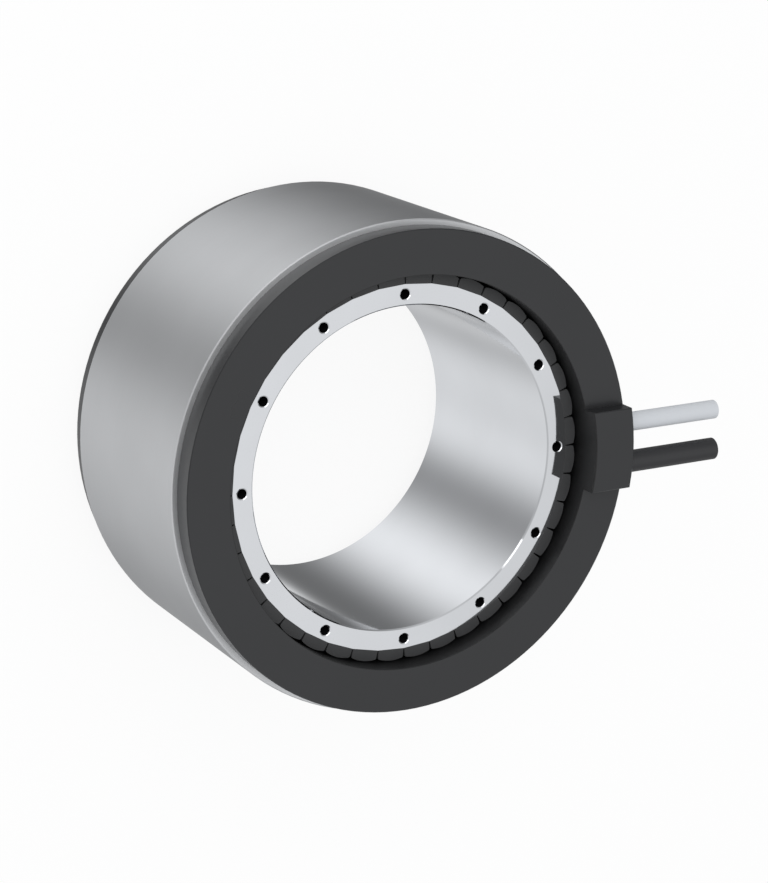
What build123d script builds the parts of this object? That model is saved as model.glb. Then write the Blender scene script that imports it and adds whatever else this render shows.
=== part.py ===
from build123d import *

import os
from math import cos, radians, sin, sqrt, tan

# Frameless torque motor: a potted stator in a thin aluminium ring, and a magnet rotor inside it.
# Millimetres, +Z up. The motor stands on the back end of its stator. The origin is on the motor's
# axis, in the plane of the rotor's back face, and the two cables leave towards +X.

# Radial build-up, from the machine's shaft outwards
rotor_bore_d = 152.0
rotor_wall = 9.6
magnet_height = 5.5
air_gap = 0.6
bore_skin = 0.5
tooth_depth = 15.1
back_iron = 5.0
housing_wall = 2.7

# Axial build-up: housing and rotor are the same length, and the resin stands out of both ends
motor_length = 106.0
core_inset = 1.0
resin_back_overhang = 10.5
resin_cover = 0.7
winding_clearance = 0.2

# Rotor ring
screw_count = 12
screw_hole_d = 4.2
screw_hole_depth = 15.0
screw_inset = 5.3
ring_edge_break = 0.6

# Magnets, one on each flat of the ring
magnet_count = 40
magnet_gap = 0.45
magnet_crown = 1.2
magnet_edge_break = 0.35

# Stator core and winding
slot_count = 36
coils_in_group = 3
tooth_width = 8.5
insulator_side = 0.3
insulator_end = 1.5
coil_bore_inset = 1.0
coil_root_gap = 0.9
coil_side_gap = 0.8
coil_end_thickness = 3.5
link_width = 1.2
link_height = 0.8
link_lap = 1.2

# Bus rings, stacked over the front end turns and joined to the coils by legs
bus_inset = 2.0
bus_width = 2.5
bus_thickness = 0.6
bus_lift = 0.8
bus_clearance = 0.6
leg_gap = 0.4
leg_depth = 1.2
leg_width = 2.0
tab_reach = 3.5
tab_gap = 0.2
wire_lap = 3.0

# Cable outlet block, part of the resin casting
block_side = 9.55
block_cover = 9.8
resin_edge_break = 0.4
housing_edge_break = 0.5

# Cables, side by side in the block: each is four cores in a jacket, and the power cable is shielded
cable_pitch = 19.5
cable_stub = 51.5
cable_seat = 4.5
cores_per_cable = 4
wire_sides = 6
lay_clearance = 0.1
layer_clearance = 0.05
power_wire_d = 1.8
power_core_d = 3.0
power_shield_wall = 0.3
power_jacket_wall = 1.1
sensor_wire_d = 1.0
sensor_core_d = 2.6
sensor_jacket_wall = 1.2
strip_length = 0.5

# Temperature sensor, in the gap between two end turns under the sensor cable
sensor_radius_inset = 4.0
sensor_clearance = 0.3
sensor_root_gap = 0.6
sensor_head_thickness = 2.4
sensor_head_margin = 0.1

# Radii that follow from the build-up
rotor_bore_r = rotor_bore_d / 2
ring_flat_r = rotor_bore_r + rotor_wall
magnet_crest_r = ring_flat_r + magnet_height
resin_bore_r = magnet_crest_r + air_gap
tooth_tip_r = resin_bore_r + bore_skin
slot_floor_r = tooth_tip_r + tooth_depth
core_outer_r = slot_floor_r + back_iron
housing_outer_r = core_outer_r + housing_wall
screw_circle_r = rotor_bore_r + screw_inset

# Winding sizes: a coil fills what its tooth leaves of half a slot at the coil's inner end
slot_pitch = 360 / slot_count
half_slot = radians(slot_pitch / 2)
core_length = motor_length - 2 * core_inset
core_mid_z = motor_length / 2
core_front_z = core_mid_z + core_length / 2
coil_inner_r = tooth_tip_r + coil_bore_inset
coil_outer_r = slot_floor_r - coil_root_gap
coil_depth = coil_outer_r - coil_inner_r
insulator_width = tooth_width + 2 * insulator_side
insulator_length = core_length + 2 * insulator_end
coil_width = 2 * coil_inner_r * tan(half_slot) - coil_side_gap
coil_length = insulator_length + 2 * coil_end_thickness
winding_top_z = core_mid_z + coil_length / 2
phases = ("u", "v", "w")
group_count = slot_count // coils_in_group
group_pitch = 360 / group_count

# Cable sizes, from the cores outwards
power_lay_r = power_core_d / sqrt(2) + lay_clearance
power_shield_inner_r = power_lay_r + power_core_d / 2 + layer_clearance
power_shield_outer_r = power_shield_inner_r + power_shield_wall
power_jacket_inner_r = power_shield_outer_r + layer_clearance
power_jacket_outer_r = power_jacket_inner_r + power_jacket_wall
sensor_lay_r = sensor_core_d / sqrt(2) + lay_clearance
sensor_jacket_inner_r = sensor_lay_r + sensor_core_d / 2 + layer_clearance
sensor_jacket_outer_r = sensor_jacket_inner_r + sensor_jacket_wall

# Bus ring and cable places: the cable's side wires lie on ring U and under ring V
bus_inner_r = coil_inner_r + bus_inset
bus_outer_r = bus_inner_r + bus_width
bus_mid_r = (bus_inner_r + bus_outer_r) / 2
leg_inner_r = bus_outer_r + leg_gap
leg_outer_r = leg_inner_r + leg_depth
tab_end_x = leg_outer_r + tab_reach
tab_width = power_lay_r - tab_gap
star_z = winding_top_z + link_height + bus_lift
bus_u_z = star_z + bus_thickness + bus_clearance
cable_z = bus_u_z + bus_thickness + power_wire_d / 2
bus_v_z = cable_z + power_wire_d / 2
bus_w_z = cable_z - bus_thickness / 2
power_y = -cable_pitch / 2
sensor_y = cable_pitch / 2
jacket_inner_x = core_outer_r - cable_seat
cut_end_x = core_outer_r + cable_stub

# Resin sizes
resin_back_z = -resin_back_overhang
resin_front_z = bus_v_z + bus_thickness + resin_cover
block_top_z = cable_z + block_cover
block_width = cable_pitch + 2 * block_side


def radial_plane(angle, radius):
    """Plane that faces outwards at an angle and radius, its x along the rim and its y along the axis."""
    outwards = Vector(cos(radians(angle)), sin(radians(angle)), 0)
    along_rim = Vector(-sin(radians(angle)), cos(radians(angle)), 0)
    return Plane(origin=outwards * radius + Vector(0, 0, core_mid_z), x_dir=along_rim, z_dir=outwards)


def save(piece, name):
    """Label a finished piece and write it as a STEP file of its own."""
    piece.label = name
    export_step(piece, f"parts/{name}.step")


os.makedirs("parts", exist_ok=True)

# Housing ring: a plain aluminium tube with both ends broken
with BuildPart() as housing_ring:
    with BuildSketch(Plane.XY):
        Circle(housing_outer_r)
        Circle(core_outer_r, mode=Mode.SUBTRACT)
    extrude(amount=motor_length)
    rim_edges = housing_ring.edges().filter_by(GeomType.CIRCLE).group_by(SortBy.RADIUS)[-1]
    chamfer(rim_edges, housing_edge_break)
save(housing_ring.part, "housing_ring")

# Rotor ring: a steel ring with a flat for each magnet. Its front has the tapped holes and a broken
# bore edge, and its back seats square on the machine's shaft
with BuildPart() as rotor_ring:
    with BuildSketch(Plane.XY):
        RegularPolygon(ring_flat_r, magnet_count, major_radius=False)
        Circle(rotor_bore_r, mode=Mode.SUBTRACT)
    extrude(amount=motor_length)
    chamfer(rotor_ring.edges().filter_by(GeomType.CIRCLE).sort_by(Axis.Z)[-1], ring_edge_break)
    with Locations(Plane.XY.offset(motor_length)):
        with PolarLocations(screw_circle_r, screw_count):
            Hole(screw_hole_d / 2, depth=screw_hole_depth)
save(rotor_ring.part, "rotor_ring")

# Magnets: bread-loaf bars, flat against the ring and crowned towards the air gap
magnet_pitch = 360 / magnet_count
magnet_width = 2 * ring_flat_r * tan(radians(magnet_pitch / 2)) - magnet_gap
magnet_shoulder = magnet_height - magnet_crown
for index in range(magnet_count):
    angle = magnet_pitch * (index + 0.5)
    outwards = Vector(cos(radians(angle)), sin(radians(angle)), 0)
    with BuildPart() as magnet:
        with BuildSketch(Plane(origin=outwards * ring_flat_r, x_dir=outwards, z_dir=(0, 0, 1))):
            with BuildLine():
                sides = Polyline(
                    (magnet_shoulder, -magnet_width / 2),
                    (0, -magnet_width / 2),
                    (0, magnet_width / 2),
                    (magnet_shoulder, magnet_width / 2),
                )
                ThreePointArc(sides @ 1, (magnet_height, 0), sides @ 0)
            make_face()
            chamfer(vertices().group_by(Axis.X)[-1], magnet_edge_break)
        extrude(amount=motor_length)
    save(magnet.part, f"magnet_{index + 1:02d}")

# Stator core: a bonded lamination stack with a straight, parallel-sided tooth for each coil, and a
# flat floor in each slot
with BuildPart() as stator_core:
    with BuildSketch(Plane.XY.offset(core_mid_z - core_length / 2)):
        Circle(core_outer_r)
        RegularPolygon(slot_floor_r, slot_count, major_radius=False, mode=Mode.SUBTRACT)
        with PolarLocations((tooth_tip_r + slot_floor_r) / 2, slot_count):
            Rectangle(tooth_depth + back_iron, tooth_width)
        Circle(tooth_tip_r, mode=Mode.SUBTRACT)
    extrude(amount=core_length)
save(stator_core.part, "stator_core")

# Tooth insulators: a moulded sleeve on each tooth, thin at the sides and thick at the ends
with BuildPart() as tooth_insulators:
    for tooth in range(slot_count):
        with BuildSketch(radial_plane(tooth * slot_pitch, coil_inner_r)):
            Rectangle(insulator_width, insulator_length)
            Rectangle(tooth_width, core_length, mode=Mode.SUBTRACT)
        extrude(amount=coil_depth)
save(tooth_insulators.part, "tooth_insulators")

# Coils: one round each tooth, joined in threes by short links over the front end turns
link_reach = bus_mid_r * tan(half_slot) - coil_width / 2 + link_lap
coil_parts = []
for phase_index, phase in enumerate(phases):
    with BuildPart() as coils:
        for group in range(phase_index, group_count, len(phases)):
            first_tooth = group * coils_in_group
            for tooth in range(first_tooth, first_tooth + coils_in_group):
                with BuildSketch(radial_plane(tooth * slot_pitch, coil_inner_r)):
                    Rectangle(coil_width, coil_length)
                    Rectangle(insulator_width, insulator_length, mode=Mode.SUBTRACT)
                extrude(amount=coil_depth)
            with BuildSketch(Plane.XY.offset(winding_top_z)):
                for link in range(1, coils_in_group):
                    link_angle = (first_tooth + link - 0.5) * slot_pitch
                    with PolarLocations(bus_mid_r, 1, start_angle=link_angle):
                        Rectangle(link_width, 2 * link_reach)
            extrude(amount=link_height)
    save(coils.part, f"coils_phase_{phase}")
    coil_parts.append(coils.part)

# Bus rings: a flat strip bent round with a side for each coil group, and a leg down to the first
# coil of each of its phase's groups
bus_parts = []
for phase_index, (phase, bus_z) in enumerate(zip(phases, (bus_u_z, bus_v_z, bus_w_z))):
    with BuildPart() as bus_ring:
        leg_angles = [
            group * coils_in_group * slot_pitch for group in range(phase_index, group_count, len(phases))
        ]
        with BuildSketch(Plane.XY.offset(bus_z)):
            RegularPolygon(bus_outer_r, group_count, major_radius=False, rotation=group_pitch / 2)
            RegularPolygon(
                bus_inner_r, group_count, major_radius=False, rotation=group_pitch / 2, mode=Mode.SUBTRACT
            )
            for angle in leg_angles:
                with PolarLocations((bus_mid_r + leg_outer_r) / 2, 1, start_angle=angle):
                    Rectangle(leg_outer_r - bus_mid_r, leg_width)
            tab_y = power_y + {"u": power_lay_r, "v": -power_lay_r, "w": 0}[phase]
            with Locations(((bus_mid_r + tab_end_x) / 2, tab_y)):
                Rectangle(tab_end_x - bus_mid_r, tab_width)
        extrude(amount=bus_thickness)
        with BuildSketch(Plane.XY.offset(winding_top_z)):
            for angle in leg_angles:
                with PolarLocations((leg_inner_r + leg_outer_r) / 2, 1, start_angle=angle):
                    Rectangle(leg_depth, leg_width)
        extrude(amount=bus_z + bus_thickness - winding_top_z)
        if phase == "w":
            # The tab of ring W turns up to the cable's top wire
            with BuildSketch(Plane.XY.offset(bus_z)):
                with Locations((tab_end_x - bus_thickness / 2, tab_y)):
                    Rectangle(bus_thickness, tab_width)
            extrude(amount=cable_z + power_lay_r - power_wire_d / 2 - bus_z)
    save(bus_ring.part, f"bus_ring_{phase}")
    bus_parts.append(bus_ring.part)

# Star ring: joins the last coils of all the groups
with BuildPart() as star_ring:
    with BuildSketch(Plane.XY.offset(star_z)):
        RegularPolygon(bus_outer_r, group_count, major_radius=False, rotation=group_pitch / 2)
        RegularPolygon(
            bus_inner_r, group_count, major_radius=False, rotation=group_pitch / 2, mode=Mode.SUBTRACT
        )
    extrude(amount=bus_thickness)
    with BuildSketch(Plane.XY.offset(winding_top_z)):
        for group in range(group_count):
            last_tooth = group * coils_in_group + coils_in_group - 1
            with PolarLocations(bus_mid_r, 1, start_angle=last_tooth * slot_pitch):
                Rectangle(bus_width, leg_width)
    extrude(amount=star_z - winding_top_z)
save(star_ring.part, "star_ring")

# Power cable: jacket, braided shield, four cores and their wires, cut square at the far end
with BuildPart() as power_cable_jacket:
    with BuildSketch(Plane.YZ.offset(jacket_inner_x)):
        with Locations((power_y, cable_z)):
            Circle(power_jacket_outer_r)
            Circle(power_jacket_inner_r, mode=Mode.SUBTRACT)
    extrude(amount=cut_end_x - jacket_inner_x)
save(power_cable_jacket.part, "power_cable_jacket")

with BuildPart() as power_cable_shield:
    with BuildSketch(Plane.YZ.offset(jacket_inner_x)):
        with Locations((power_y, cable_z)):
            Circle(power_shield_outer_r)
            Circle(power_shield_inner_r, mode=Mode.SUBTRACT)
    extrude(amount=cut_end_x - jacket_inner_x)
save(power_cable_shield.part, "power_cable_shield")

# The three phase cores run on to the bus ring tabs, and the earth core ends with the jacket
phase_core_x = tab_end_x + strip_length
earth_place = (power_y, cable_z - power_lay_r)
phase_places = [
    (power_y + power_lay_r, cable_z),
    (power_y - power_lay_r, cable_z),
    (power_y, cable_z + power_lay_r),
]
with BuildPart() as power_cores:
    for core_x, places in ((phase_core_x, phase_places), (jacket_inner_x, [earth_place])):
        with BuildSketch(Plane.YZ.offset(core_x)):
            with Locations(*places):
                Circle(power_core_d / 2)
                RegularPolygon(power_wire_d / 2, wire_sides, major_radius=False, mode=Mode.SUBTRACT)
        extrude(amount=cut_end_x - core_x)
save(power_cores.part, "power_cores")

# The earth wire turns down beside the end turns and runs out again along the face of the back iron
earth_drop_x = jacket_inner_x - strip_length - power_wire_d / 2
earth_foot_z = core_front_z + power_wire_d / 2
earth_end_x = core_outer_r - back_iron / 2
with BuildPart() as power_wires:
    with BuildSketch(Plane.YZ.offset(tab_end_x - wire_lap)):
        with Locations(*phase_places):
            RegularPolygon(power_wire_d / 2, wire_sides, major_radius=False)
    extrude(amount=cut_end_x - tab_end_x + wire_lap)
    with BuildLine() as earth_path:
        Polyline(
            (cut_end_x, power_y, cable_z - power_lay_r),
            (earth_drop_x, power_y, cable_z - power_lay_r),
            (earth_drop_x, power_y, earth_foot_z),
            (earth_end_x, power_y, earth_foot_z),
        )
    with BuildSketch(Plane(origin=earth_path.line @ 0, x_dir=(0, 1, 0), z_dir=earth_path.line % 0)):
        RegularPolygon(power_wire_d / 2, wire_sides, major_radius=False)
    sweep(transition=Transition.RIGHT)
save(power_wires.part, "power_wires")

# Temperature sensor: a bead between two end turns, with a head that the sensor wires end on
sensor_r = coil_outer_r - sensor_radius_inset
sensor_d = 2 * (sensor_r * sin(half_slot) - coil_width / 2 - sensor_clearance)
sensor_x = sensor_r * cos(half_slot)
head_half = sensor_lay_r + sensor_core_d / 2 + sensor_head_margin
with BuildPart() as temperature_sensor:
    with BuildSketch(Plane.XY.offset(core_front_z + sensor_root_gap)):
        with Locations((sensor_x, sensor_r * sin(half_slot))):
            Circle(sensor_d / 2)
    extrude(amount=cable_z - core_front_z - sensor_root_gap)
    with BuildSketch(Plane.YZ.offset(sensor_x - sensor_head_thickness / 2)):
        with Locations((sensor_y, cable_z)):
            Rectangle(2 * head_half, 2 * head_half)
    extrude(amount=sensor_head_thickness)
save(temperature_sensor.part, "temperature_sensor")

# Sensor cable: jacket, four cores and their wires, cut square at the far end
sensor_wire_x = sensor_x + sensor_head_thickness / 2
with BuildPart() as sensor_cable_jacket:
    with BuildSketch(Plane.YZ.offset(jacket_inner_x)):
        with Locations((sensor_y, cable_z)):
            Circle(sensor_jacket_outer_r)
            Circle(sensor_jacket_inner_r, mode=Mode.SUBTRACT)
    extrude(amount=cut_end_x - jacket_inner_x)
save(sensor_cable_jacket.part, "sensor_cable_jacket")

with BuildPart() as sensor_cores:
    with BuildSketch(Plane.YZ.offset(sensor_wire_x + strip_length)):
        with Locations((sensor_y, cable_z)):
            with PolarLocations(sensor_lay_r, cores_per_cable):
                Circle(sensor_core_d / 2)
                RegularPolygon(sensor_wire_d / 2, wire_sides, major_radius=False, mode=Mode.SUBTRACT)
    extrude(amount=cut_end_x - sensor_wire_x - strip_length)
save(sensor_cores.part, "sensor_cores")

with BuildPart() as sensor_wires:
    with BuildSketch(Plane.YZ.offset(sensor_wire_x)):
        with Locations((sensor_y, cable_z)):
            with PolarLocations(sensor_lay_r, cores_per_cable):
                RegularPolygon(sensor_wire_d / 2, wire_sides, major_radius=False)
    extrude(amount=cut_end_x - sensor_wire_x)
save(sensor_wires.part, "sensor_wires")

# Potting: one casting with a stepped pocket for the wound core and the bus rings, a thin skin in the
# bore, an annular end standing out of the housing front and back, and the outlet block. The pocket
# has a side along each coil's end turn, and its upper channel has one along each side of the bus rings.
# Each cable's wires cross a chamber of the block, between the rings or the sensor and the jacket.
chamber_inner_x = leg_outer_r * cos(radians(group_pitch / 2))
power_chamber_top_z = cable_z + power_shield_outer_r
with BuildPart() as potting:
    with BuildSketch(Plane.XY.offset(resin_back_z)):
        Circle(core_outer_r)
        Circle(tooth_tip_r, mode=Mode.SUBTRACT)
    extrude(amount=resin_front_z - resin_back_z)
    outer_rims = potting.edges().filter_by(GeomType.CIRCLE).group_by(SortBy.RADIUS)[-1]
    chamfer(outer_rims, resin_edge_break)
    with BuildSketch(Plane.XY.offset(motor_length)):
        Circle(core_outer_r)
        Circle(resin_bore_r, mode=Mode.SUBTRACT)
        with Locations((core_outer_r, 0)):
            Rectangle(2 * core_outer_r, block_width, mode=Mode.INTERSECT)
    extrude(amount=block_top_z - motor_length)
    chamfer(potting.faces().sort_by(Axis.Z)[-1].edges(), resin_edge_break)
    with BuildSketch(Plane.XY.offset(core_mid_z - core_length / 2)):
        Circle(core_outer_r)
    extrude(amount=core_length, mode=Mode.SUBTRACT)
    with BuildSketch(Plane.XY.offset(core_mid_z - coil_length / 2)):
        RegularPolygon(
            coil_outer_r + winding_clearance, slot_count, major_radius=False, rotation=slot_pitch / 2
        )
    extrude(amount=coil_length, mode=Mode.SUBTRACT)
    with BuildSketch(Plane.XY.offset(winding_top_z)):
        RegularPolygon(
            leg_outer_r + winding_clearance, group_count, major_radius=False, rotation=group_pitch / 2
        )
    extrude(amount=bus_v_z + bus_thickness - winding_top_z, mode=Mode.SUBTRACT)
    with BuildSketch(Plane.XY.offset(winding_top_z)):
        with Locations(((chamber_inner_x + jacket_inner_x) / 2, power_y)):
            Rectangle(jacket_inner_x - chamber_inner_x, 2 * power_shield_outer_r)
    extrude(amount=power_chamber_top_z - winding_top_z, mode=Mode.SUBTRACT)
    with BuildSketch(Plane.YZ.offset(sensor_wire_x)):
        with Locations((sensor_y, cable_z)):
            Rectangle(2 * head_half, 2 * head_half)
    extrude(amount=jacket_inner_x - sensor_wire_x, mode=Mode.SUBTRACT)
    with BuildSketch(Plane.YZ.offset(jacket_inner_x)):
        with Locations((power_y, cable_z)):
            Circle(power_jacket_outer_r)
        with Locations((sensor_y, cable_z)):
            Circle(sensor_jacket_outer_r)
    extrude(amount=cut_end_x - jacket_inner_x, mode=Mode.SUBTRACT)
    for embedded in (power_wires.part, temperature_sensor.part):
        add(embedded, mode=Mode.SUBTRACT)
    with BuildSketch(Plane.XY.offset(resin_back_z)):
        Circle(tooth_tip_r)
        Circle(resin_bore_r, mode=Mode.SUBTRACT)
    extrude(amount=resin_front_z - resin_back_z)
save(potting.part, "potting")
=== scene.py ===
"""Looks of the frameless torque motor: its turned, ground, cast and moulded surfaces, the threads in
its screw holes, the strands at its cable ends, and the studio that it stands in.

Everything is in metres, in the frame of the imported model: +Z along the motor's axis, towards the
screw holes and the cable block, and +X the way that the cables leave.
"""

import logging
import math
from contextlib import contextmanager
from dataclasses import dataclass, field
from enum import Enum
from typing import Callable, Iterable, Iterator, Optional, Union

import bmesh
import bpy
from mathutils import Matrix, Vector


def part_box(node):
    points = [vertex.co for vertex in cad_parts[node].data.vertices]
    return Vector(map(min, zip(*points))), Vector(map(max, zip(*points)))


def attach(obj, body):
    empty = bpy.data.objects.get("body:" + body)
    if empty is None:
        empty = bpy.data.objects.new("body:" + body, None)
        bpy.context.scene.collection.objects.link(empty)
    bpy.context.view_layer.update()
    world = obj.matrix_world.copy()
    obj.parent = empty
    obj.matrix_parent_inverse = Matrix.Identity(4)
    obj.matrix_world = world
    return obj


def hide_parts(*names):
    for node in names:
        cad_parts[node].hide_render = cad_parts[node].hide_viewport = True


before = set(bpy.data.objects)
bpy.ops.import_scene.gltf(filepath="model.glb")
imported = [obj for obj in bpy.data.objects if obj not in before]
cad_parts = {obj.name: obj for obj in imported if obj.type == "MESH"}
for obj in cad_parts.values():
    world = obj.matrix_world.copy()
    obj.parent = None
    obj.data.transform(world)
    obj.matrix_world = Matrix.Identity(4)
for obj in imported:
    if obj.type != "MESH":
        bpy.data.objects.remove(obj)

logging.basicConfig(level=logging.INFO, format="%(message)s")
log = logging.getLogger("motor")

MM = 0.001
# A place this near to another one counts as the same place.
HAIR = 0.01 * MM
# A face whose normal rises by more than this faces up.
UPRIGHT = 0.9
CORES = 4
STRANDS_ROUND_ONE = 6

Colour = tuple[float, float, float]
Rgba = tuple[float, float, float, float]
Point = tuple[float, float, float]
Socket = bpy.types.NodeSocket
Paint = Union[Colour, Socket]
Number = Union[float, Socket]
Piece = bpy.types.Object


class Body(Enum):
    """The motor's two rigid bodies."""

    STATOR = "stator"
    ROTOR = "rotor"


class Slot(Enum):
    """The record's material slots of the new pieces; they are passed along, but nothing reads them."""

    STEEL = "rotor_steel"
    WIRE = "wire_copper"


class Element(Enum):
    """What edit mode selects."""

    CORNERS = "verts"
    EDGES = "edges"
    FACES = "faces"


class Maths(Enum):
    """What a maths node works out."""

    ABSOLUTE = "ABSOLUTE"
    ADD = "ADD"
    ARCTAN2 = "ARCTAN2"
    FRACTION = "FRACT"
    GREATER = "GREATER_THAN"
    LESS = "LESS_THAN"
    MAXIMUM = "MAXIMUM"
    MULTIPLY = "MULTIPLY"
    POWER = "POWER"
    SINE = "SINE"
    SUBTRACT = "SUBTRACT"


class VectorMaths(Enum):
    """What a vector maths node works out."""

    DOT = "DOT_PRODUCT"
    LENGTH = "LENGTH"
    MULTIPLY = "MULTIPLY"
    NORMALIZE = "NORMALIZE"
    SUBTRACT = "SUBTRACT"


class Ease(Enum):
    """How a range is crossed."""

    STRAIGHT = "LINEAR"
    SOFT = "SMOOTHSTEP"


@dataclass(frozen=True)
class CableRun:
    """Where a cable lies: its axis runs along +X at (y, z), and its cores lie round the axis."""

    y: float
    z: float
    lay: float


POWER_RUN = CableRun(-9.75 * MM, 114.3 * MM, 2.22 * MM)
SENSOR_RUN = CableRun(9.75 * MM, 114.3 * MM, 1.94 * MM)


def rgba(colour: Colour) -> Rgba:
    """Adds an opaque alpha to a colour."""
    return (*colour, 1.0)


def shade(colour: Colour, factor: float) -> Colour:
    """Makes a colour lighter or darker by a factor."""
    return tuple(min(1.0, factor * part) for part in colour)


def direction(azimuth: float, elevation: float = 0.0) -> Vector:
    """Turns two angles into a unit vector.

    Args:
        azimuth: the angle round +Z from +X, in degrees.
        elevation: the angle above the horizon, in degrees.

    Returns:
        The unit vector.
    """
    turn = math.radians(azimuth)
    rise = math.radians(elevation)
    return Vector((math.cos(turn) * math.cos(rise), math.sin(turn) * math.cos(rise), math.sin(rise)))


class NodeTree:
    """A small helper that lays out one material's or world's nodes."""

    NOISE_DARK = 0.3
    NOISE_LIGHT = 0.7
    STREAK_DETAIL = 2.0

    def __init__(self, tree: bpy.types.NodeTree) -> None:
        """Takes a node tree and clears it."""
        self.tree = tree
        self.tree.nodes.clear()

    def add(self, kind: str, inputs: Optional[dict] = None, **settings: object) -> bpy.types.Node:
        """Adds a node.

        Args:
            kind: the node's type name.
            inputs: values or output sockets for its inputs, by input name or number.
            settings: the node's own settings.

        Returns:
            The new node.
        """
        node = self.tree.nodes.new(kind)
        for name, value in settings.items():
            setattr(node, name, value)
        for name, value in (inputs or {}).items():
            if isinstance(value, Socket):
                self.tree.links.new(value, node.inputs[name])
            else:
                node.inputs[name].default_value = value
        return node

    def maths(self, operation: Maths, first: Number, second: Number = 0.0) -> Socket:
        """Works out a number from one or two others."""
        return self.add("ShaderNodeMath", {0: first, 1: second}, operation=operation.value).outputs[0]

    def vector(self, operation: VectorMaths, first: Socket, second: Point = (0.0, 0.0, 0.0)) -> Socket:
        """Adds a vector maths node.

        Args:
            operation: what it works out.
            first: its first vector.
            second: its second vector.

        Returns:
            The result's socket, a number for a length or a dot product.
        """
        node = self.add("ShaderNodeVectorMath", {0: first, 1: second}, operation=operation.value)
        is_number = operation in (VectorMaths.LENGTH, VectorMaths.DOT)
        return node.outputs["Value" if is_number else "Vector"]

    def object_point(self, scale: Point = (1.0, 1.0, 1.0)) -> Socket:
        """Gives the object coordinates, stretched by how often a pattern repeats along each axis."""
        source = self.add("ShaderNodeTexCoord").outputs["Object"]
        return self.add("ShaderNodeMapping", {"Vector": source, "Scale": scale}).outputs["Vector"]

    def radius(self) -> Socket:
        """Measures how far a point lies from the motor's axis."""
        return self.vector(VectorMaths.LENGTH, self.object_point((1.0, 1.0, 0.0)))

    def from_cable(self, run: CableRun) -> tuple[Socket, Socket, Socket]:
        """Measures a point's place from a cable's axis.

        Args:
            run: where the cable lies.

        Returns:
            The sockets of how far it lies along the cable, across it and above it.
        """
        point = self.add("ShaderNodeTexCoord").outputs["Object"]
        place = self.vector(VectorMaths.SUBTRACT, point, (0.0, run.y, run.z))
        parts = self.add("ShaderNodeSeparateXYZ", {0: place}).outputs
        return parts["X"], parts["Y"], parts["Z"]

    def noise(self, vector: Socket, scale: float, detail: float) -> Socket:
        """Adds noise, read at a vector, of a fineness and a number of octaves."""
        inputs = {"Vector": vector, "Scale": scale, "Detail": detail}
        return self.add("ShaderNodeTexNoise", inputs).outputs[0]

    def streaks(self, fineness: Point) -> Socket:
        """Adds noise that is drawn out, because its fineness differs from axis to axis."""
        return self.noise(self.object_point(fineness), 1.0, self.STREAK_DETAIL)

    def rescale(self, value: Socket, source: tuple[float, float], result: tuple[float, float],
                ease: Ease = Ease.STRAIGHT) -> Socket:
        """Maps a value's own range onto another one."""
        inputs = {0: value, 1: source[0], 2: source[1], 3: result[0], 4: result[1]}
        return self.add("ShaderNodeMapRange", inputs, interpolation_type=ease.value).outputs[0]

    def drift(self, pattern: Socket, low: float = 0.0, high: float = 1.0) -> Socket:
        """Maps noise onto a range: low where the noise is dark, and high where it is light."""
        return self.rescale(pattern, (self.NOISE_DARK, self.NOISE_LIGHT), (low, high))

    def mix(self, factor: Socket, first: Paint, second: Paint) -> Socket:
        """Mixes two colours or their sockets: factor 0 gives the first and 1 the second."""
        paints = [paint if isinstance(paint, Socket) else rgba(paint) for paint in (first, second)]
        return self.add("ShaderNodeMix", {0: factor, 6: paints[0], 7: paints[1]}, data_type="RGBA").outputs[2]

    def blend(self, factor: Socket, first: Number, second: Number) -> Socket:
        """Mixes two numbers or their sockets: factor 0 gives the first and 1 the second."""
        return self.add("ShaderNodeMix", {0: factor, 2: first, 3: second}, data_type="FLOAT").outputs[0]

    def bump(self, height: Socket, depth: float, strength: float = 1.0) -> Socket:
        """Makes a normal from a height pattern, with its depth in metres and how much of it shows."""
        inputs = {"Height": height, "Distance": depth, "Strength": strength}
        return self.add("ShaderNodeBump", inputs).outputs["Normal"]

    def surface(self, **inputs: object) -> None:
        """Adds the principled shader and the material's output.

        Args:
            inputs: the shader's sockets, with underscores for spaces.
        """
        named = {name.replace("_", " "): value for name, value in inputs.items()}
        shader = self.add("ShaderNodeBsdfPrincipled", named)
        self.add("ShaderNodeOutputMaterial", {"Surface": shader.outputs[0]})


@dataclass(frozen=True)
class Finish:
    """A surface finish that becomes one material, with soft clouds in its colour and its gloss."""

    name: str
    colour: Colour
    roughness: float
    cloud_scale: float = 100.0
    cloud_detail: float = 3.0
    darkest: float = 1.0
    lightest: float = 1.0
    dulling: float = 0.05

    def material(self) -> bpy.types.Material:
        """Gives the finish's material, made on its first use.

        Returns:
            The material.
        """
        found = bpy.data.materials.get(self.name)
        if found:
            return found
        made = bpy.data.materials.new(self.name)
        made.use_nodes = True
        self.lay_out(NodeTree(made.node_tree))
        return made

    def lay_out(self, nodes: NodeTree) -> None:
        """Fills the material's nodes."""
        raise NotImplementedError

    def clouds(self, nodes: NodeTree) -> Socket:
        """Adds the noise that the finish's colour follows."""
        return nodes.noise(nodes.object_point(), self.cloud_scale, self.cloud_detail)

    def mottled(self, nodes: NodeTree, clouds: Socket) -> Socket:
        """Makes the finish's colour darker and lighter with the clouds."""
        dark, light = shade(self.colour, self.darkest), shade(self.colour, self.lightest)
        return nodes.mix(nodes.drift(clouds), dark, light)

    def uneven(self, nodes: NodeTree, pattern: Socket) -> Socket:
        """Makes the finish's roughness follow a pattern."""
        return nodes.drift(pattern, self.roughness - self.dulling, self.roughness + self.dulling)


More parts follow.
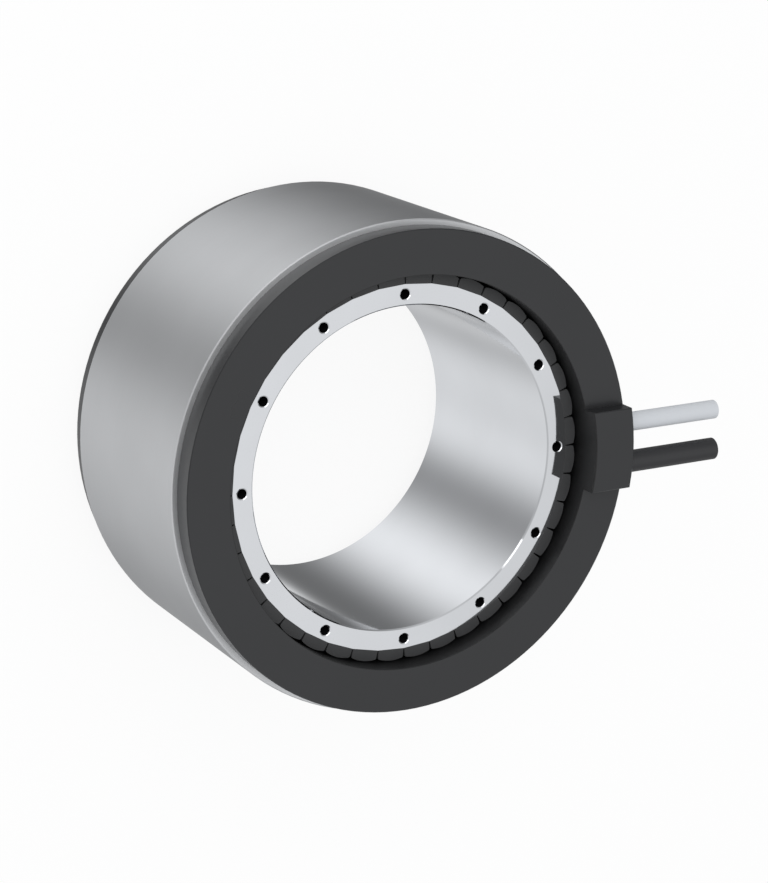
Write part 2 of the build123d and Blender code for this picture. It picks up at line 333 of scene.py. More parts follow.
@dataclass(frozen=True)
class TurnedMetal(Finish):
    """Metal cut or ground round the motor's axis, with fine rings that blur what it mirrors."""

    cloud_scale: float = 16.0
    cloud_detail: float = 4.0
    darkest: float = 0.97
    lightest: float = 1.03
    dulling: float = 0.03
    rings: Point = (4.0, 4.0, 5000.0)
    ring_depth: float = 0.0004 * MM
    edge: float = 1.0

    def lay_out(self, nodes: NodeTree) -> None:
        """Fills the material's nodes.

        Args:
            nodes: the material's node tree.
        """
        rings = nodes.streaks(self.rings)
        nodes.surface(
            Base_Color=self.mottled(nodes, self.clouds(nodes)),
            Metallic=1.0,
            Roughness=self.uneven(nodes, rings),
            Normal=nodes.bump(rings, self.ring_depth),
            Specular_Tint=rgba((self.edge, self.edge, self.edge)),
        )


@dataclass(frozen=True)
class CastResin(Finish):
    """Filled casting resin: near black and satin, with a faint grain, and duller in its bore, whose colour is
    darkened as painted shade.
    """

    cloud_scale: float = 18.0
    cloud_detail: float = 4.0
    darkest: float = 0.94
    lightest: float = 1.06
    dulling: float = 0.03
    grain_scale: float = 900.0
    grain_detail: float = 2.0
    grain_depth: float = 0.01 * MM
    grain_strength: float = 0.4
    # painted shade: how dark the bore wall's colour is drawn, standing for the shadow in the air gap
    painted_bore_shade: float = 0.2
    bore_roughness: float = 0.5
    bore_radii: tuple[float, float] = (91.9 * MM, 92.0 * MM)

    def lay_out(self, nodes: NodeTree) -> None:
        """Fills the material's nodes.

        Args:
            nodes: the material's node tree.
        """
        grain = nodes.noise(nodes.object_point(), self.grain_scale, self.grain_detail)
        clouds = self.clouds(nodes)
        outside = nodes.rescale(nodes.radius(), self.bore_radii, (0.0, 1.0))
        nodes.surface(
            # painted shade: inside the bore radius the resin takes the darkened colour
            Base_Color=nodes.mix(outside, shade(self.colour, self.painted_bore_shade), self.mottled(nodes, clouds)),
            Roughness=nodes.blend(outside, self.bore_roughness, self.uneven(nodes, clouds)),
            Normal=nodes.bump(grain, self.grain_depth, self.grain_strength),
        )


@dataclass(frozen=True)
class CoatedMagnet(Finish):
    """Sintered magnet under a thin dark epoxy coat, a little uneven like orange peel."""

    cloud_scale: float = 60.0
    darkest: float = 0.94
    lightest: float = 1.06
    dulling: float = 0.04
    specular: float = 0.15
    peel_scale: float = 700.0
    peel_detail: float = 1.0
    peel_depth: float = 0.015 * MM
    peel_strength: float = 0.4

    def lay_out(self, nodes: NodeTree) -> None:
        """Fills the material's nodes.

        Args:
            nodes: the material's node tree.
        """
        peel = nodes.noise(nodes.object_point(), self.peel_scale, self.peel_detail)
        clouds = self.clouds(nodes)
        nodes.surface(
            Base_Color=self.mottled(nodes, clouds),
            Roughness=self.uneven(nodes, clouds),
            Specular_IOR_Level=self.specular,
            Normal=nodes.bump(peel, self.peel_depth, self.peel_strength),
        )


@dataclass(frozen=True)
class Extruded(Finish):
    """Extruded jacket: satin plastic with faint draw lines along the cable."""

    lines: Point = (12.0, 2500.0, 2500.0)
    line_depth: float = 0.006 * MM
    line_strength: float = 0.5

    def lay_out(self, nodes: NodeTree) -> None:
        """Fills the material's nodes.

        Args:
            nodes: the material's node tree.
        """
        lines = nodes.streaks(self.lines)
        nodes.surface(
            Base_Color=self.paint(nodes),
            Roughness=self.uneven(nodes, lines),
            Normal=nodes.bump(lines, self.line_depth, self.line_strength),
        )

    def paint(self, nodes: NodeTree) -> Union[Rgba, Socket]:
        """Gives the plastic's colour, or the socket of its colours."""
        return rgba(self.colour)


@dataclass(frozen=True, kw_only=True)
class CoreColours(Extruded):
    """Insulation of a cable's four cores, each core in its own colour by its place round the axis.

    The finish's own colour is the upper core's.
    """

    run: CableRun
    right: Colour
    left: Colour
    lower: Colour
    stripe: Optional[Colour] = None
    stripes: float = 2.0
    stripe_edge: float = 0.35

    def paint(self, nodes: NodeTree) -> Union[Rgba, Socket]:
        """Colours each core by where it lies.

        Args:
            nodes: the material's node tree.

        Returns:
            The colour socket.
        """
        across, above = nodes.from_cable(self.run)[1:]
        width = nodes.maths(Maths.ABSOLUTE, across)
        height = nodes.maths(Maths.ABSOLUTE, above)
        stands = nodes.maths(Maths.GREATER, height, width)
        beside = nodes.mix(nodes.maths(Maths.GREATER, across, 0.0), self.left, self.right)
        lower = self.striped(nodes, across, above) if self.stripe else self.lower
        upright = nodes.mix(nodes.maths(Maths.GREATER, above, 0.0), lower, self.colour)
        return nodes.mix(stands, beside, upright)

    def striped(self, nodes: NodeTree, across: Socket, above: Socket) -> Socket:
        """Paints stripes along the lower core.

        Args:
            nodes: the material's node tree.
            across: how far a point lies across the cable.
            above: how far it lies above the cable's axis.

        Returns:
            The colour socket.
        """
        turn = nodes.maths(Maths.ARCTAN2, across, nodes.maths(Maths.ADD, above, self.run.lay))
        wave = nodes.maths(Maths.SINE, nodes.maths(Maths.MULTIPLY, turn, self.stripes))
        return nodes.mix(nodes.maths(Maths.GREATER, wave, self.stripe_edge), self.lower, self.stripe)


@dataclass(frozen=True)
class StackedSheets(Finish):
    """Electrical steel sheets stacked along the motor's axis, with lacquer between them."""

    cloud_scale: float = 60.0
    darkest: float = 0.9
    lightest: float = 1.1
    dulling: float = 0.06
    sheet: float = 0.35 * MM
    lacquer: Colour = (0.06, 0.055, 0.05)
    lacquer_share: float = 0.12
    joint_depth: float = 0.03 * MM
    joint_strength: float = 0.6

    def lay_out(self, nodes: NodeTree) -> None:
        """Fills the material's nodes.

        Args:
            nodes: the material's node tree.
        """
        point = nodes.object_point((1.0, 1.0, 1.0 / self.sheet))
        sheets = nodes.add("ShaderNodeSeparateXYZ", {0: point}).outputs["Z"]
        joint = nodes.maths(Maths.LESS, nodes.maths(Maths.FRACTION, sheets), self.lacquer_share)
        bare = nodes.maths(Maths.SUBTRACT, 1.0, joint)
        clouds = self.clouds(nodes)
        nodes.surface(
            Base_Color=nodes.mix(joint, self.mottled(nodes, clouds), self.lacquer),
            Metallic=bare,
            Roughness=self.uneven(nodes, clouds),
            Normal=nodes.bump(bare, self.joint_depth, self.joint_strength),
        )


@dataclass(frozen=True)
class WoundWire(Finish):
    """Enamelled wire wound round the teeth: turns side by side from the tooth tips outwards, with painted
    shade in the troughs between them.
    """

    cloud_scale: float = 120.0
    cloud_detail: float = 2.0
    wire: float = 0.85 * MM
    # painted shade: how much darker the colour is drawn in the troughs between turns
    painted_gap_shade: float = 0.35
    wire_height: float = 0.2 * MM
    metallic: float = 0.85
    enamel: float = 0.5
    enamel_roughness: float = 0.15

    def lay_out(self, nodes: NodeTree) -> None:
        """Fills the material's nodes.

        Args:
            nodes: the material's node tree.
        """
        turns = nodes.maths(Maths.MULTIPLY, nodes.radius(), math.pi / self.wire)
        bulge = nodes.maths(Maths.ABSOLUTE, nodes.maths(Maths.SINE, turns))
        nodes.surface(
            # painted shade in the troughs between turns
            Base_Color=nodes.mix(bulge, shade(self.colour, self.painted_gap_shade), self.colour),
            Metallic=self.metallic,
            Roughness=self.uneven(nodes, self.clouds(nodes)),
            Coat_Weight=self.enamel,
            Coat_Roughness=self.enamel_roughness,
            Normal=nodes.bump(bulge, self.wire_height),
        )


@dataclass(frozen=True)
class DrawnMetal(Finish):
    """Drawn, rolled or drilled metal, bare and a little tarnished; the drilled holes' walls use it near
    black, as painted shade.
    """

    cloud_scale: float = 90.0
    cloud_detail: float = 4.0
    darkest: float = 0.82
    lightest: float = 1.05
    dulling: float = 0.06

    def lay_out(self, nodes: NodeTree) -> None:
        """Fills the material's nodes.

        Args:
            nodes: the material's node tree.
        """
        clouds = self.clouds(nodes)
        nodes.surface(
            Base_Color=self.mottled(nodes, clouds),
            Metallic=1.0,
            Roughness=self.uneven(nodes, clouds),
        )


@dataclass(frozen=True)
class Moulded(Finish):
    """Moulded or dipped plastic, satin and a little mottled."""

    cloud_scale: float = 150.0
    darkest: float = 0.96
    lightest: float = 1.03
    relief: float = 0.01 * MM
    relief_strength: float = 0.3

    def lay_out(self, nodes: NodeTree) -> None:
        """Fills the material's nodes.

        Args:
            nodes: the material's node tree.
        """
        clouds = self.clouds(nodes)
        nodes.surface(
            Base_Color=self.mottled(nodes, clouds),
            Roughness=self.uneven(nodes, clouds),
            Normal=nodes.bump(clouds, self.relief, self.relief_strength),
        )


@dataclass(frozen=True, kw_only=True)
class Braid(Finish):
    """Tinned wires plaited round a cable's cores, with painted shade in the gaps between them."""

    run: CableRun
    carriers: float = 12.0
    pitch: float = 9.0 * MM
    # painted shade: how much darker the colour is drawn in the gaps between the wires
    painted_gap_shade: float = 0.35
    weave_depth: float = 0.15 * MM

    def lay_out(self, nodes: NodeTree) -> None:
        """Fills the material's nodes.

        Args:
            nodes: the material's node tree.
        """
        along, across, above = nodes.from_cable(self.run)
        turn = nodes.maths(Maths.MULTIPLY, nodes.maths(Maths.ARCTAN2, across, above), self.carriers)
        travel = nodes.maths(Maths.MULTIPLY, along, math.pi * self.carriers / self.pitch)
        one_way = nodes.maths(Maths.SINE, nodes.maths(Maths.ADD, turn, travel))
        other_way = nodes.maths(Maths.SINE, nodes.maths(Maths.SUBTRACT, turn, travel))
        weave = nodes.maths(Maths.MAXIMUM, one_way, other_way)
        nodes.surface(
            # painted shade in the gaps of the weave
            Base_Color=nodes.mix(weave, shade(self.colour, self.painted_gap_shade), self.colour),
            Metallic=1.0,
            Roughness=self.roughness,
            Normal=nodes.bump(weave, self.weave_depth),
        )


def dress(finish: Finish, *starts: str) -> list[Piece]:
    """Gives a finish to the carried-over CAD nodes whose names start so.

    Args:
        finish: the finish.
        starts: the starts of the nodes' names.

    Returns:
        The nodes' objects.
    """
    material = finish.material()
    pieces = [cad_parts[name] for name in sorted(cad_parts) if name.startswith(starts)]
    for piece in pieces:
        for material_slot in piece.material_slots:
            material_slot.material = material
    return pieces


class Bench:
    """Hand work on one mesh: it starts as a primitive and is shaped with edit-mode tools."""

    def __init__(self, name: str, add: Callable, **place: object) -> None:
        """Adds a primitive at its size and place.

        Args:
            name: the piece's name.
            add: the operator that adds the primitive.
            place: the operator's settings.
        """
        bpy.ops.object.select_all(action="DESELECT")
        add(**place)
        self.piece = bpy.context.object
        self.piece.name = self.piece.data.name = name
        bpy.ops.object.transform_apply(location=True, rotation=True, scale=True)

    def take(self, others: Iterable[Piece] = ()) -> None:
        """Selects the piece, and the others with it, and makes the piece the active one.

        Args:
            others: the objects to select with it.
        """
        bpy.ops.object.select_all(action="DESELECT")
        for each in (*others, self.piece):
            each.select_set(True)
        bpy.context.view_layer.objects.active = self.piece

    @contextmanager
    def editing(self) -> Iterator[None]:
        """Holds the piece in edit mode and turns all its faces outwards at the end.

        Returns:
            The context, which gives nothing.
        """
        self.take()
        bpy.ops.object.mode_set(mode="EDIT")
        yield
        bpy.ops.mesh.select_all(action="SELECT")
        bpy.ops.mesh.normals_make_consistent(inside=False)
        bpy.ops.object.mode_set(mode="OBJECT")

    def pick(self, kind: Element, test: Callable[[object], bool]) -> None:
        """Selects, in edit mode, just what passes a test.

        Args:
            kind: corners, edges or faces.
            test: says of one element whether it is wanted.
        """
        bpy.context.tool_settings.mesh_select_mode = tuple(kind is each for each in Element)
        bpy.ops.mesh.select_all(action="DESELECT")
        mesh = bmesh.from_edit_mesh(self.piece.data)
        for element in list(getattr(mesh, kind.value)):
            if test(element):
                element.select_set(True)
        bmesh.update_edit_mesh(self.piece.data)

    def modify(self, kind: str, **settings: object) -> None:
        """Adds a modifier and applies it.

        Args:
            kind: the modifier's type.
            settings: its settings.
        """
        self.take()
        modifier = self.piece.modifiers.new(kind.lower(), kind)
        for name, value in settings.items():
            setattr(modifier, name, value)
        bpy.ops.object.modifier_apply(modifier=modifier.name)

    def copies(self, places: Iterable[Matrix]) -> None:
        """Puts a copy of the piece, with its own mesh, at each place, and joins them into one piece.

        Args:
            places: where the copies go, as seen from where the piece is now.
        """
        master = self.piece
        made = []
        for place in places:
            copy = master.copy()
            copy.data = master.data.copy()
            copy.data.transform(place)
            bpy.context.scene.collection.objects.link(copy)
            made.append(copy)
        bpy.data.objects.remove(master)
        self.piece = made[0]
        self.join(made[1:])

    def join(self, others: Iterable[Piece]) -> None:
        """Joins other objects into the piece."""
        self.take(others)
        bpy.ops.object.join()

    def smooth(self, angle: float = 30.0) -> None:
        """Shades the piece smooth across edges flatter than an angle in degrees."""
        self.take()
        bpy.ops.object.shade_smooth_by_angle(angle=math.radians(angle))

    def fit(self, finish: Finish, body: Body, slot: Slot, node: str) -> None:
        """Dresses the finished piece and puts it on its body in the place of a CAD node.

        Args:
            finish: its finish.
            body: the body that it moves with.
            slot: the record's material slot; not used.
            node: the CAD node that it stands for.
        """
        self.piece.data.materials.clear()
        self.piece.data.materials.append(finish.material())
        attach(self.piece, body.value)
        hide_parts(node)

    def second_finish(self, finish: Finish, test: Callable[[Vector], bool]) -> None:
        """Gives some of the piece's faces a finish of their own.

        Args:
            finish: the finish.
            test: says of a face's middle whether the face has it.
        """
        self.piece.data.materials.append(finish.material())
        for face in self.piece.data.polygons:
            if test(face.center):
                face.material_index = len(self.piece.data.materials) - 1


@dataclass
class Stator:
    """The housing, the wound core and the casting that holds them, which keep their CAD shapes."""

    housing: Finish = TurnedMetal("turned_aluminium", (0.665, 0.67, 0.68), 0.38, edge=0.45)
    casting: Finish = CastResin("cast_resin", (0.0158, 0.0162, 0.0178), 0.30)
    core: Finish = StackedSheets("stacked_sheets", (0.34, 0.35, 0.37), 0.35)
    insulators: Finish = Moulded("natural_nylon", (0.72, 0.69, 0.60), 0.45)
    coils: Finish = WoundWire("wound_wire", (0.60, 0.26, 0.12), 0.25)
    rings: Finish = DrawnMetal("bus_strip", (0.80, 0.45, 0.30), 0.30)
    sensor: Finish = Moulded("dipped_bead", (0.05, 0.05, 0.055), 0.30)

    def build(self) -> list[Piece]:
        """Dresses the stator's pieces.

        Returns:
            The pieces.
        """
        return [
            *dress(self.housing, "housing_ring"),
            *dress(self.casting, "potting"),
            *dress(self.core, "stator_core"),
            *dress(self.insulators, "tooth_insulators"),
            *dress(self.coils, "coils_phase_"),
            *dress(self.rings, "bus_ring_", "star_ring"),
            *dress(self.sensor, "temperature_sensor"),
        ]


@dataclass
class Rotor:
    """The steel ring, with a flat for each magnet and a tapped hole for each screw, and its magnets."""

    bore_radius: float = 76.0 * MM
    bore_steps: int = 240
    flat_radius: float = 85.6 * MM
    flats: int = 40
    edge_break: float = 0.6 * MM
    screws: int = 12
    screw_circle: float = 81.3 * MM
    mouth_radius: float = 2.8 * MM
    mouth_foot: float = 2.36 * MM
    mouth_slope: float = math.radians(30.0)
    lead_in: float = 0.3 * MM
    drill_depth: float = 15.0 * MM
    drill_point: float = math.radians(31.0)
    drill_steps: int = 56
    thread_root: float = 2.5 * MM
    thread_crest: float = 2.1 * MM
    thread_pitch: float = 0.8 * MM
    thread_foot: float = 0.68 * MM
    thread_tip: float = 0.2 * MM
    thread_turns: int = 13
    thread_steps: int = 28
    ridge_corners: int = 4
    steel: Finish = TurnedMetal("ground_steel", (0.70, 0.71, 0.73), 0.06, dulling=0.012)
    # painted shade: near-black metal on the holes' walls and threads, standing for the shade deep in the
    # holes
    tapped: Finish = DrawnMetal("tapped_wall_painted_shade", (0.004, 0.004, 0.0045), 0.50)
    magnets: Finish = CoatedMagnet("coated_magnet", (0.054, 0.0545, 0.056), 0.45)
    back: float = field(init=False)
    front: float = field(init=False)
    mouth_depth: float = field(init=False)

    def __post_init__(self) -> None:
        """Reads where the CAD ring ends and works out the countersinks' depth."""
        low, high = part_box("rotor_ring")
        self.back = low.z
        self.front = high.z
        self.mouth_depth = (self.mouth_radius - self.mouth_foot) * math.tan(self.mouth_slope)

    def build(self) -> list[Piece]:
        """Builds the ring, cuts its threads, puts it in the CAD ring's place and dresses the magnets.

        Returns:
            The ring and the magnets.
        """
        ring = self.blank()
        self.drill(ring)
        ring.smooth()
        ring.join([self.thread().piece])
        ring.fit(self.steel, Body.ROTOR, Slot.STEEL, "rotor_ring")
        # painted shade: the near-black finish goes on the holes below their countersinks
        ring.second_finish(self.tapped, self.is_tapped)
        return [ring.piece, *dress(self.magnets, "magnet_")]

    def blank(self) -> Bench:
        """Makes the ring without its holes.

        Returns:
            The ring.
        """
        length = self.front - self.back
        middle = (0.0, 0.0, (self.front + self.back) / 2)
        ring = Bench("rotor_ring_steel", bpy.ops.mesh.primitive_cylinder_add, vertices=self.bore_steps,
                     radius=self.bore_radius, depth=length, end_fill_type="NOTHING", location=middle)
        corner_radius = self.flat_radius / math.cos(math.pi / self.flats)
        outside = Bench("ring_outside", bpy.ops.mesh.primitive_cylinder_add, vertices=self.flats,
                        radius=corner_radius, depth=length, end_fill_type="NOTHING", location=middle)
        ring.join([outside.piece])
        with ring.editing():
            for height in (self.back, self.front):
                ring.pick(Element.EDGES, lambda edge: self.is_level(edge, height))
                bpy.ops.mesh.fill()
            ring.pick(Element.EDGES, lambda edge: self.is_level(edge, self.front) and self.is_bore(edge))
            bpy.ops.mesh.bevel(offset=self.edge_break, segments=1, affect="EDGES")
        return ring

    def is_level(self, edge: bmesh.types.BMEdge, height: float) -> bool:
        """Says whether an edge lies at a height."""
        return all(abs(corner.co.z - height) < HAIR for corner in edge.verts)

    def is_bore(self, edge: bmesh.types.BMEdge) -> bool:
        """Says whether an edge lies on the bore wall."""
        return all(abs(corner.co.xy.length - self.bore_radius) < HAIR for corner in edge.verts)

    def screw_places(self) -> list[Matrix]:
        """Gives the turns that take a tool from +Y to each screw hole."""
        return [Matrix.Rotation(2 * math.pi * index / self.screws, 4, "Z") for index in range(self.screws)]

    def drill(self, ring: Bench) -> None:
        """Cuts the screw holes, with a countersink at the mouth and the drill's point at the bottom.

        Args:
            ring: the ring to cut.
        """
        point_height = self.thread_root * math.tan(self.drill_point)
        top = self.front - self.mouth_depth - self.lead_in
        bottom = self.front - self.drill_depth + point_height
        axis = (0.0, self.screw_circle, (top + bottom) / 2)
        cutter = Bench("drill", bpy.ops.mesh.primitive_cylinder_add, vertices=self.drill_steps,
                       radius=self.thread_root, depth=top - bottom, location=axis)
        land = (0.0, 0.0, self.lead_in)
        rise = (0.0, 0.0, 2 * self.mouth_depth)
        flare = (2 * self.mouth_radius - self.mouth_foot) / self.mouth_foot
        with cutter.editing():
            cutter.pick(Element.FACES, lambda face: face.normal.z > UPRIGHT)
            bpy.ops.mesh.inset(thickness=self.thread_root - self.mouth_foot)
            bpy.ops.mesh.extrude_region_move(TRANSFORM_OT_translate={"value": land})
            bpy.ops.mesh.extrude_region_move(TRANSFORM_OT_translate={"value": rise})
            bpy.ops.transform.resize(value=(flare, flare, 1.0), center_override=(axis[0], axis[1], top))
            cutter.pick(Element.FACES, lambda face: face.normal.z < -UPRIGHT)
            bpy.ops.mesh.extrude_region_move(TRANSFORM_OT_translate={"value": (0.0, 0.0, -point_height)})
            bpy.ops.mesh.merge(type="CENTER")
        cutter.copies(self.screw_places())
        ring.modify("BOOLEAN", operation="DIFFERENCE", solver="EXACT", object=cutter.piece)
        bpy.data.objects.remove(cutter.piece)

    def thread(self) -> Bench:
        """Makes the threads of all the holes: a ridge that winds up each wall.

        Returns:
            The threads, as one piece.
        """
        depth = self.thread_root - self.thread_crest
        middle = self.thread_root - depth / 2
        taper = self.thread_tip / self.thread_foot
        top = self.front - self.mouth_depth - self.lead_in - self.thread_foot / 2
        start = top - self.thread_turns * self.thread_pitch
        ridge = Bench("thread", bpy.ops.mesh.primitive_plane_add, size=1.0, rotation=(math.pi / 2, 0.0, 0.0))
        with ridge.editing():
            bpy.ops.transform.resize(value=(depth, 1.0, self.thread_foot), center_override=(0.0, 0.0, 0.0))
            ridge.pick(Element.CORNERS, lambda corner: corner.co.x < 0)
            bpy.ops.transform.resize(value=(1.0, 1.0, taper), center_override=(0.0, 0.0, 0.0))
            bpy.ops.mesh.select_all(action="SELECT")
            bpy.ops.transform.translate(value=(middle, 0.0, 0.0))
            bpy.ops.mesh.delete(type="ONLY_FACE")
        ridge.modify("SCREW", screw_offset=self.thread_pitch, iterations=self.thread_turns,
                     steps=self.thread_steps, render_steps=self.thread_steps, use_smooth_shade=True)
        with ridge.editing():
            bpy.ops.mesh.select_all(action="SELECT")
            bpy.ops.mesh.fill_holes(sides=self.ridge_corners)
            bpy.ops.transform.translate(value=(0.0, self.screw_circle, start))
        ridge.smooth()
        ridge.copies(self.screw_places())
        return ridge

    def is_tapped(self, place: Vector) -> bool:
        """Says whether a place is on a hole's wall or thread, below its countersink.

        Args:
            place: the middle of a face.

        Returns:
            True on a hole's wall or thread.
        """
        turn = 2 * math.pi / self.screws
        nearest = round(math.atan2(place.y, place.x) / turn) * turn
        axis = self.screw_circle * Vector((math.cos(nearest), math.sin(nearest)))
        in_hole = (place.xy - axis).length < self.thread_root + HAIR
        return in_hole and place.z < self.front - self.mouth_depth + HAIR


@dataclass
class Cable:
    """A cable stub: its layers, which keep their CAD shapes, and conductors that end in strands."""

    name: str
    run: CableRun
    jacket: Finish
    insulation: Finish
    wire_radius: float
    strand_rings: int
    shield: Optional[Finish] = None
    shown: float = 3.0 * MM
    strand_sides: int = 10
    strand_bevel: float = 0.25
    weld: float = 0.001 * MM
    copper: Finish = DrawnMetal("bright_strands", (0.80, 0.42, 0.26), 0.28)

    def build(self) -> list[Piece]:
        """Dresses the cable's layers, builds its conductors and puts them in the CAD wires' place.

        Returns:
            The layers and the conductors.
        """
        layers = dress(self.jacket, f"{self.name}_cable_jacket")
        if self.shield:
            layers += dress(self.shield, f"{self.name}_cable_shield")
        layers += dress(self.insulation, f"{self.name}_cores")
        node = f"{self.name}_wires"
        cut_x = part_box(node)[1].x
        wires = self.solid_part(node, cut_x - self.shown)
        wires.join([self.strands(cut_x).piece])
        wires.smooth()
        wires.fit(self.copper, Body.STATOR, Slot.WIRE, node)
        return [*layers, wires.piece]

    def solid_part(self, node: str, end_x: float) -> Bench:
        """Copies the CAD wires and cuts them off short of the cable's end.

        Args:
            node: the wires' CAD node.
            end_x: where they are cut.

        Returns:
            The wires, closed at the cut.
        """
        wires = Bench(f"{node}_stranded", bpy.ops.mesh.primitive_plane_add, size=1.0)
        wires.piece.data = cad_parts[node].data.copy()
        with wires.editing():
            bpy.ops.mesh.select_all(action="SELECT")
            bpy.ops.mesh.remove_doubles(threshold=self.weld)
            bpy.ops.mesh.bisect(plane_co=(end_x, 0.0, 0.0), plane_no=(1.0, 0.0, 0.0), use_fill=True,
                                clear_outer=True)
        return wires

    def strands(self, cut_x: float) -> Bench:
        """Makes the strands that show at the cut.

        Args:
            cut_x: the cable's cut end.

        Returns:
            The strands, as one piece.
        """
        radius = self.wire_radius / (2 * self.strand_rings + 1)
        middle = (cut_x - self.shown / 2, 0.0, 0.0)
        strand = Bench("strand", bpy.ops.mesh.primitive_cylinder_add, vertices=self.strand_sides,
                       radius=radius, depth=self.shown, rotation=(0.0, math.pi / 2, 0.0), location=middle)
        with strand.editing():
            strand.pick(Element.EDGES, lambda edge: all(corner.co.x > cut_x - HAIR for corner in edge.verts))
            bpy.ops.mesh.bevel(offset=self.strand_bevel * radius, segments=2, affect="EDGES")
        strand.copies(Matrix.Translation(place) for place in self.strand_places(radius))
        return strand

    def strand_places(self, radius: float) -> list[Vector]:
        """Works out the strands' places: one in the middle of each conductor and rings of them round it.

        Args:
            radius: a strand's radius.

        Returns:
            The places of all the conductors' strands.
        """
        bundle = [Vector((0.0, 0.0, 0.0))]
        for ring in range(1, self.strand_rings + 1):
            around = STRANDS_ROUND_ONE * ring
            for index in range(around):
                bundle.append(2 * radius * ring * self.beside(2 * math.pi * index / around))
        axis = Vector((0.0, self.run.y, self.run.z))
        return [axis + self.run.lay * self.beside(2 * math.pi * core / CORES) + place
                for core in range(CORES) for place in bundle]

    def beside(self, angle: float) -> Vector:
        """Gives the unit vector at an angle round the cable."""
        return Vector((0.0, math.cos(angle), math.sin(angle)))


@dataclass(frozen=True)
class SkyPanel:
    """A soft bright panel of the studio's lower sky: its azimuth, how sharply it fades, and its light."""

    azimuth: float
    sharpness: float
    gain: float


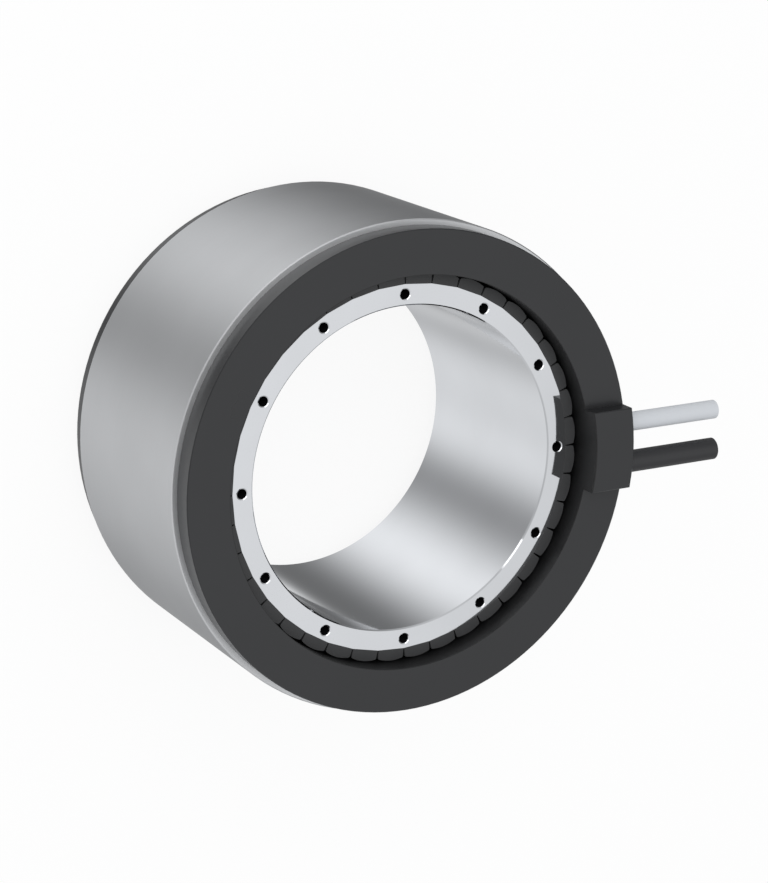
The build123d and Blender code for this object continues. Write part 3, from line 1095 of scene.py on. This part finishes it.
@dataclass
class Studio:
    """The camera, the floor, the sky and the overhead box."""

    lens: float = 104.18
    sensor: float = 36.0
    clip: tuple[float, float] = (0.05, 50.0)
    camera_place: Point = (-0.5343, 0.3282, 1.0787)
    camera_back: Point = (-0.456, 0.273, 0.847)
    camera_right: Point = (0.881, 0.002, 0.474)
    floor_height: float = -10.52 * MM
    floor_size: float = 40.0
    paper: Colour = (0.92, 0.92, 0.92)
    white_share: float = 0.9
    sky_colour: Colour = (0.98, 0.99, 1.0)
    horizon: float = 0.33
    zenith: float = 1.17
    ground: float = 0.185
    panels_fade: tuple[float, float] = (0.0, 0.8)
    panels: tuple[SkyPanel, ...] = (
        SkyPanel(96.5, 4.0, 0.91),
        SkyPanel(184.0, 9.2, 0.56),
        SkyPanel(235.0, 3.2, 0.70),
        SkyPanel(296.0, 16.0, 0.38),
        SkyPanel(345.0, 30.0, 0.60),
    )
    box_size: float = 1.3
    box_distance: float = 1.5
    box_radiance: float = 1.25
    box_azimuth: float = 115.0
    box_elevation: float = 62.0
    box_aim: Point = (0.0, 0.0, 50.0 * MM)

    def build(self) -> None:
        """Sets up the whole studio."""
        self.camera()
        self.floor()
        self.sky()
        self.overhead_box()
        bpy.context.scene.view_settings.view_transform = "Standard"

    def camera(self) -> None:
        """Places the camera at the photograph's viewing angle."""
        data = bpy.data.cameras.new("photo_camera")
        data.lens = self.lens
        data.sensor_width = self.sensor
        data.clip_start, data.clip_end = self.clip
        camera = bpy.data.objects.new("photo_camera", data)
        bpy.context.scene.collection.objects.link(camera)
        back = Vector(self.camera_back).normalized()
        right = Vector(self.camera_right)
        right = (right - back * right.dot(back)).normalized()
        turn = Matrix((right, back.cross(right), back)).transposed()
        camera.matrix_world = Matrix.Translation(self.camera_place) @ turn.to_4x4()
        bpy.context.scene.camera = camera

    def seen(self, nodes: NodeTree) -> Socket:
        """Gives 1 for the rays that show the studio itself, straight on or through glass."""
        path = nodes.add("ShaderNodeLightPath").outputs
        return nodes.maths(Maths.MAXIMUM, path["Is Camera Ray"], path["Is Transmission Ray"])

    def floor(self) -> None:
        """Lays a pale floor that shows white and keeps the motor's soft shadow.

        The metal mirrors the sky below the horizon through it, as it would on a glass table.
        """
        bpy.ops.object.select_all(action="DESELECT")
        bpy.ops.mesh.primitive_plane_add(size=self.floor_size, location=(0.0, 0.0, self.floor_height))
        floor = bpy.context.object
        floor.name = "floor"
        material = bpy.data.materials.new("floor_paper")
        material.use_nodes = True
        nodes = NodeTree(material.node_tree)
        share = nodes.maths(Maths.MULTIPLY, self.seen(nodes), self.white_share)
        paper = nodes.add("ShaderNodeBsdfDiffuse", {"Color": rgba(self.paper)}).outputs[0]
        white = nodes.add("ShaderNodeEmission").outputs[0]
        both = nodes.add("ShaderNodeMixShader", {0: share, 1: paper, 2: white}).outputs[0]
        glass = nodes.add("ShaderNodeBsdfTransparent").outputs[0]
        mirrored = nodes.add("ShaderNodeLightPath").outputs["Is Glossy Ray"]
        whole = nodes.add("ShaderNodeMixShader", {0: mirrored, 1: both, 2: glass}).outputs[0]
        nodes.add("ShaderNodeOutputMaterial", {"Surface": whole})
        floor.data.materials.append(material)

    def sky(self) -> None:
        """Gives a pale sky that is brightest overhead, and dark ground with soft bright panels round it.

        The camera sees it white.
        """
        world = bpy.data.worlds.new("studio_sky")
        world.use_nodes = True
        bpy.context.scene.world = world
        nodes = NodeTree(world.node_tree)
        ray = nodes.add("ShaderNodeTexCoord").outputs["Generated"]
        height = nodes.add("ShaderNodeSeparateXYZ", {0: ray}).outputs["Z"]
        squared = nodes.maths(Maths.MULTIPLY, height, height)
        upper = nodes.maths(Maths.MULTIPLY, squared, self.zenith - self.horizon)
        upper = nodes.maths(Maths.ADD, upper, self.horizon)
        above = nodes.rescale(height, self.panels_fade, (0.0, 1.0), Ease.SOFT)
        light = nodes.blend(above, self.ground_light(nodes, ray), upper)
        light = nodes.blend(self.seen(nodes), light, 1.0)
        sky = nodes.add("ShaderNodeBackground", {"Color": rgba(self.sky_colour), "Strength": light})
        nodes.add("ShaderNodeOutputWorld", {"Surface": sky.outputs[0]})

    def ground_light(self, nodes: NodeTree, ray: Socket) -> Socket:
        """Works out the light that comes from near and below the horizon.

        Args:
            nodes: the world's node tree.
            ray: the ray's direction.

        Returns:
            The light's socket.
        """
        level = nodes.vector(VectorMaths.MULTIPLY, ray, (1.0, 1.0, 0.0))
        level = nodes.vector(VectorMaths.NORMALIZE, level)
        light = self.ground
        for panel in self.panels:
            towards = nodes.vector(VectorMaths.DOT, level, direction(panel.azimuth))
            facing = nodes.maths(Maths.MAXIMUM, towards, 0.0)
            shine = nodes.maths(Maths.MULTIPLY, nodes.maths(Maths.POWER, facing, panel.sharpness), panel.gain)
            light = nodes.maths(Maths.ADD, light, shine)
        return light

    def overhead_box(self) -> None:
        """Hangs a large soft box over the motor, which gives its soft shadow."""
        data = bpy.data.lights.new("overhead_box", "AREA")
        data.shape = "SQUARE"
        data.size = self.box_size
        data.energy = self.box_radiance * math.pi * self.box_size**2
        lamp = bpy.data.objects.new("overhead_box", data)
        bpy.context.scene.collection.objects.link(lamp)
        back = direction(self.box_azimuth, self.box_elevation)
        lamp.location = Vector(self.box_aim) + back * self.box_distance
        lamp.rotation_mode = "QUATERNION"
        lamp.rotation_quaternion = back.to_track_quat("Z", "Y")
        lamp.visible_camera = False


def cables() -> tuple[Cable, Cable]:
    """Gives the motor's two cable stubs.

    Returns:
        The power cable, which is shielded, and the sensor cable.
    """
    black = (0.02, 0.02, 0.022)
    power_colours = CoreColours("power_insulation", black, 0.35, run=POWER_RUN, right=black, left=black,
                                lower=(0.05, 0.25, 0.06), stripe=(0.75, 0.60, 0.05))
    sensor_colours = CoreColours("sensor_insulation", (0.78, 0.62, 0.08), 0.35, run=SENSOR_RUN,
                                 right=(0.80, 0.80, 0.78), left=(0.22, 0.10, 0.05), lower=(0.06, 0.28, 0.08))
    power = Cable(
        "power", POWER_RUN,
        jacket=Extruded("black_jacket", (0.020, 0.020, 0.022), 0.45),
        insulation=power_colours,
        wire_radius=0.9 * MM,
        strand_rings=2,
        shield=Braid("tinned_braid", (0.70, 0.70, 0.72), 0.32, run=POWER_RUN),
    )
    sensor = Cable(
        "sensor", SENSOR_RUN,
        jacket=Extruded("pale_grey_jacket", (0.60, 0.62, 0.65), 0.45),
        insulation=sensor_colours,
        wire_radius=0.5 * MM,
        strand_rings=1,
    )
    return power, sensor


def main() -> None:
    """Builds and dresses everything in order, and reports each piece."""
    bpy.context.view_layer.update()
    Studio().build()
    for assembly in (Stator(), Rotor(), *cables()):
        for piece in assembly.build():
            finishes = ", ".join(material_slot.name for material_slot in piece.material_slots)
            log.info("%s: %s, %d faces", piece.name, finishes, len(piece.data.polygons))


if __name__ == "__main__":
    main()
